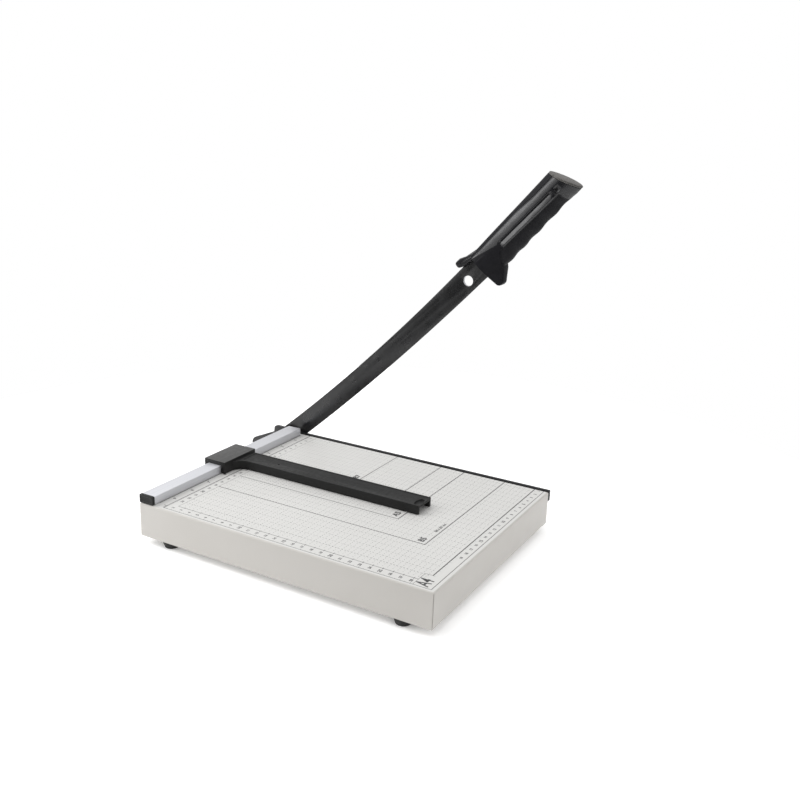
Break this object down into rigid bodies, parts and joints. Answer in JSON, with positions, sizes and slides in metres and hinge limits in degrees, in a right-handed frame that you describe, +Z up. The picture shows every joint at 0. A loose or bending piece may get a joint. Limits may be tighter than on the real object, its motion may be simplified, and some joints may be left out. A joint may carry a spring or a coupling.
{
  "type": "guillotine paper cutter",
  "caption": "Desktop guillotine paper cutter: a steel deck with printed scales, a curved blade arm pivoted at the back, a paper stop and a sliding back gauge.",
  "frame": {"origin": "bottom centre of the bounding box of the whole cutter with the blade arm raised as stored, on the table", "axes": "+X the user's right, across the cut, +Y to the back where the paper stop and pivot are, +Z up; the user stands at -Y"},
  "size_m": [0.2708, 0.389, 0.361],
  "materials": {
    "housing_paint": "warm light grey powder paint, satin, fine orange peel",
    "blade_paint": "black satin paint on steel plate, rubbed at the edges",
    "fixed_blade_steel": "blackened steel bar with a bright ground edge",
    "rail_aluminium": "silver anodised extrusion with fine drawing lines",
    "gauge_plastic": "black moulded plastic with a fine spark texture",
    "grip_plastic": "black moulded plastic, semi-gloss",
    "foot_rubber": "matt black moulded rubber",
    "zinc_steel": "bright zinc-plated steel",
    "bronze": "oiled sintered bronze",
    "printed_ink": "screen-printed black ink on the deck's paint"
  },
  "bodies": {
    "base": {"base_housing": "housing_paint", "bracket_bolt_1": "zinc_steel", "bracket_bolt_2": "zinc_steel", "bracket_bolt_3": "zinc_steel", "bracket_nut_1": "zinc_steel", "bracket_nut_2": "zinc_steel", "bracket_nut_3": "zinc_steel", "cross_brace_back": "zinc_steel", "cross_brace_front": "zinc_steel", "fixed_blade": "fixed_blade_steel", "fixed_blade_backing_bar": "zinc_steel", "fixed_blade_screw_1": "zinc_steel", "fixed_blade_screw_2": "zinc_steel", "fixed_blade_screw_3": "zinc_steel", "fixed_blade_screw_4": "zinc_steel", "foot_back_left": "foot_rubber", "foot_back_right": "foot_rubber", "foot_front_left": "foot_rubber", "foot_front_right": "foot_rubber", "foot_screw_back_left": "zinc_steel", "foot_screw_back_right": "zinc_steel", "foot_screw_front_left": "zinc_steel", "foot_screw_front_right": "zinc_steel", "opening_stop_pin": "zinc_steel", "pivot_bolt": "zinc_steel", "pivot_bracket": "blade_paint", "pivot_head_washer": "zinc_steel", "pivot_inner_washer": "zinc_steel", "pivot_lock_nut": "zinc_steel", "pivot_spacer_washer": "bronze", "pivot_spring": "zinc_steel", "pivot_spring_washer": "zinc_steel", "rail_end_cap": "gauge_plastic", "rail_screw_1": "zinc_steel", "rail_screw_2": "zinc_steel", "stop_rail": "rail_aluminium"},
    "arm": {"blade_arm": "blade_paint", "pivot_bushing": "bronze", "handle_grip": "grip_plastic", "handle_end_cap": "grip_plastic", "handle_screw_1": "zinc_steel", "handle_screw_2": "zinc_steel"},
    "gauge": {"gauge_slider": "gauge_plastic", "gauge_leaf_spring": "zinc_steel"}
  },
  "joints": [
    {"name": "blade_pivot", "type": "hinge", "parent": "base", "child": "arm", "pos_m": [0.12215, 0.15679, 0.0255], "axis": [1, 0, 0], "range_deg": [-10, 39]},
    {"name": "gauge_slide", "type": "slide", "parent": "base", "child": "gauge", "axis": [1, 0, 0], "range_m": [-0.096, 0.09]}
  ]
}
